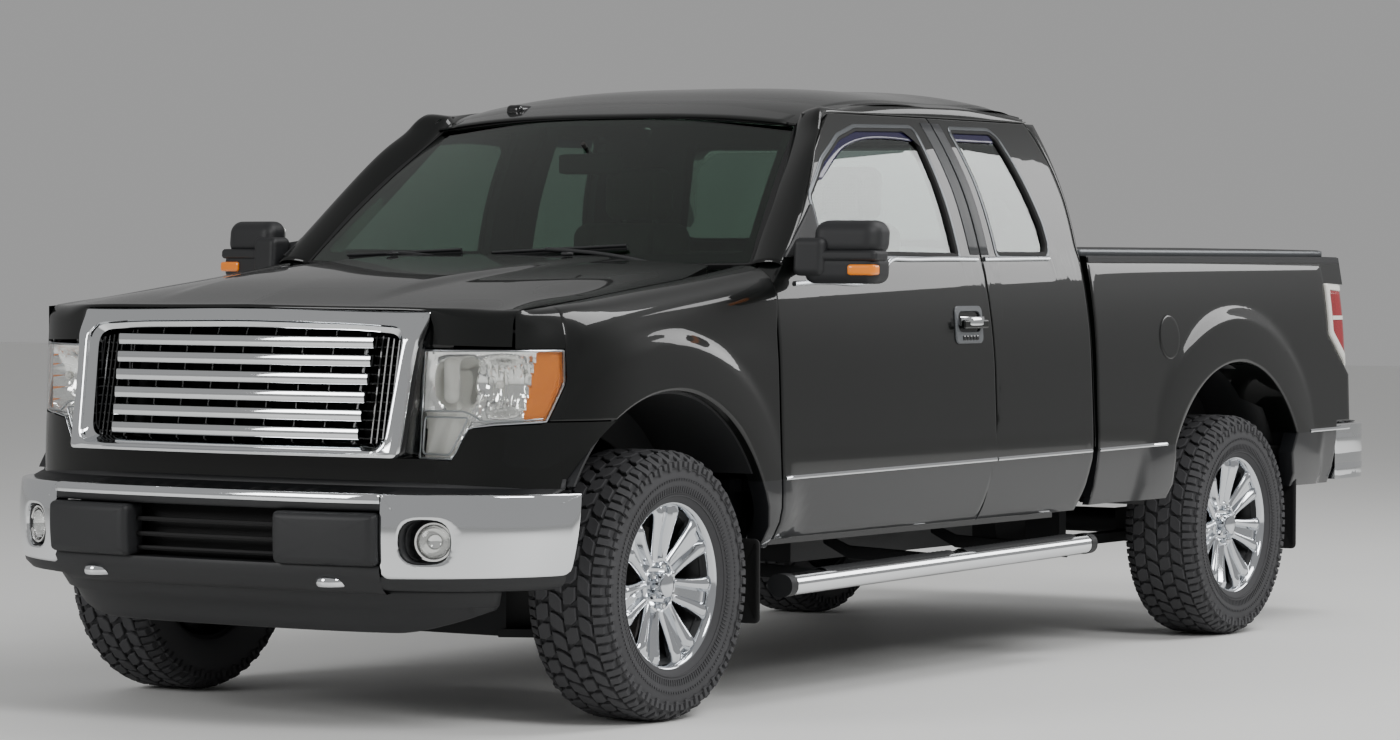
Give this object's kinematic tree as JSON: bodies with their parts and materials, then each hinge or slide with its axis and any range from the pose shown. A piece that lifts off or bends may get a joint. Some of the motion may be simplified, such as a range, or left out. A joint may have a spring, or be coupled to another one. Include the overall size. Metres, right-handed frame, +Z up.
{
  "type": "pickup truck with an extended cab",
  "caption": "Full-size pickup truck with an extended cab, covered cargo bed, steered front wheels, opening doors, hood and tailgate.",
  "frame": {"origin": "on the ground, under the middle of the truck's length and on its centre plane", "axes": "+X to the truck's left, +Y rearwards, +Z up; the grille faces -Y"},
  "size_m": [2.484, 5.89, 1.8986],
  "materials": {
    "body_paint": "gloss two-tone paint, black over dark grey",
    "bright_trim": "polished",
    "black_plastic": "fine grain",
    "frame_coat": "dull wax coat",
    "cast_metal": "rough",
    "steel_tube": "satin",
    "tire_rubber": "matte",
    "wheel_metal": "bright",
    "window_glass": "tinted",
    "lamp_clear": "clear",
    "lamp_red": "gloss",
    "flap_rubber": "matte",
    "cabin_plastic": "soft grain",
    "seat_cloth": "woven",
    "cover_cloth": "coated weave"
  },
  "bodies": {
    "root": {"frame": "frame_coat", "crossmembers": "frame_coat", "engine": "cast_metal", "radiator": "cast_metal", "front_suspension": "cast_metal", "rear_axle": "cast_metal", "driveline": "cast_metal", "exhaust": "steel_tube", "fender_left": "body_paint", "fender_right": "body_paint", "nose_panel": "body_paint", "cab_floor": "body_paint", "cab_roof": "body_paint", "cab_back": "body_paint", "bed_side_left": "body_paint", "bed_side_right": "body_paint", "bed_floor": "body_paint", "grille_surround": "bright_trim", "grille_bars": "bright_trim", "front_bumper": "bright_trim", "tow_hooks": "bright_trim", "rear_bumper": "bright_trim", "step_bars": "bright_trim", "arch_liners": "black_plastic", "bumper_trim": "black_plastic", "wipers": "black_plastic", "fuel_tank": "black_plastic", "headlamps": "lamp_clear", "fog_lamps": "lamp_clear", "tail_lamps": "lamp_red", "windshield": "window_glass", "rear_window": "window_glass", "spare_wheel": "tire_rubber", "mud_flaps": "flap_rubber", "dashboard": "cabin_plastic", "front_seats": "seat_cloth", "rear_seat": "seat_cloth", "tonneau_cover": "cover_cloth"},
    "hood": {"hood": "body_paint"},
    "tailgate": {"tailgate": "body_paint"},
    "knuckle_left": {"knuckle_left": "cast_metal"},
    "knuckle_right": {"knuckle_right": "cast_metal"},
    "door_front_left": {"door_front_left": "body_paint", "glass_front_left": "window_glass", "mirror_left": "black_plastic"},
    "door_rear_left": {"door_rear_left": "body_paint", "glass_rear_left": "window_glass"},
    "wheel_front_left": {"tire_front_left": "tire_rubber", "rim_front_left": "wheel_metal"},
    "wheel_rear_left": {"tire_rear_left": "tire_rubber", "rim_rear_left": "wheel_metal"},
    "door_front_right": {"door_front_right": "body_paint", "glass_front_right": "window_glass", "mirror_right": "black_plastic"},
    "door_rear_right": {"door_rear_right": "body_paint", "glass_rear_right": "window_glass"},
    "wheel_front_right": {"tire_front_right": "tire_rubber", "rim_front_right": "wheel_metal"},
    "wheel_rear_right": {"tire_rear_right": "tire_rubber", "rim_rear_right": "wheel_metal"}
  },
  "joints": [
    {"name": "steer_left", "type": "hinge", "parent": "root", "child": "knuckle_left", "pos_m": [0.8, -1.99, 0.392], "axis": [0, 0, 1], "range_deg": [-33, 33]},
    {"name": "roll_front_left", "type": "hinge", "parent": "knuckle_left", "child": "wheel_front_left", "pos_m": [0.851, -1.99, 0.392], "axis": [1, 0, 0], "continuous": true},
    {"name": "roll_rear_left", "type": "hinge", "parent": "root", "child": "wheel_rear_left", "pos_m": [0.851, 1.68, 0.392], "axis": [1, 0, 0], "continuous": true},
    {"name": "door_front_left_hinge", "type": "hinge", "parent": "root", "child": "door_front_left", "pos_m": [0.97, -1.425, 0.81], "axis": [0, 0, -1], "range_deg": [0, 65]},
    {"name": "door_rear_left_hinge", "type": "hinge", "parent": "root", "child": "door_rear_left", "pos_m": [0.97, 0.505, 0.81], "axis": [0, 0, 1], "range_deg": [0, 90]},
    {"name": "steer_right", "type": "hinge", "parent": "root", "child": "knuckle_right", "pos_m": [-0.8, -1.99, 0.392], "axis": [0, 0, 1], "range_deg": [-33, 33]},
    {"name": "roll_front_right", "type": "hinge", "parent": "knuckle_right", "child": "wheel_front_right", "pos_m": [-0.851, -1.99, 0.392], "axis": [1, 0, 0], "continuous": true},
    {"name": "roll_rear_right", "type": "hinge", "parent": "root", "child": "wheel_rear_right", "pos_m": [-0.851, 1.68, 0.392], "axis": [1, 0, 0], "continuous": true},
    {"name": "door_front_right_hinge", "type": "hinge", "parent": "root", "child": "door_front_right", "pos_m": [-0.97, -1.425, 0.81], "axis": [0, 0, 1], "range_deg": [0, 65]},
    {"name": "door_rear_right_hinge", "type": "hinge", "parent": "root", "child": "door_rear_right", "pos_m": [-0.97, 0.505, 0.81], "axis": [0, 0, -1], "range_deg": [0, 90]},
    {"name": "hood_hinge", "type": "hinge", "parent": "root", "child": "hood", "pos_m": [0, -1.47, 1.31], "axis": [-1, 0, 0], "range_deg": [0, 52]},
    {"name": "tailgate_hinge", "type": "hinge", "parent": "root", "child": "tailgate", "pos_m": [0, 2.505, 0.872], "axis": [-1, 0, 0], "range_deg": [0, 90]}
  ],
  "couplings": [
    {"joint": "steer_right", "follows": "steer_left", "ratio": 1}
  ]
}
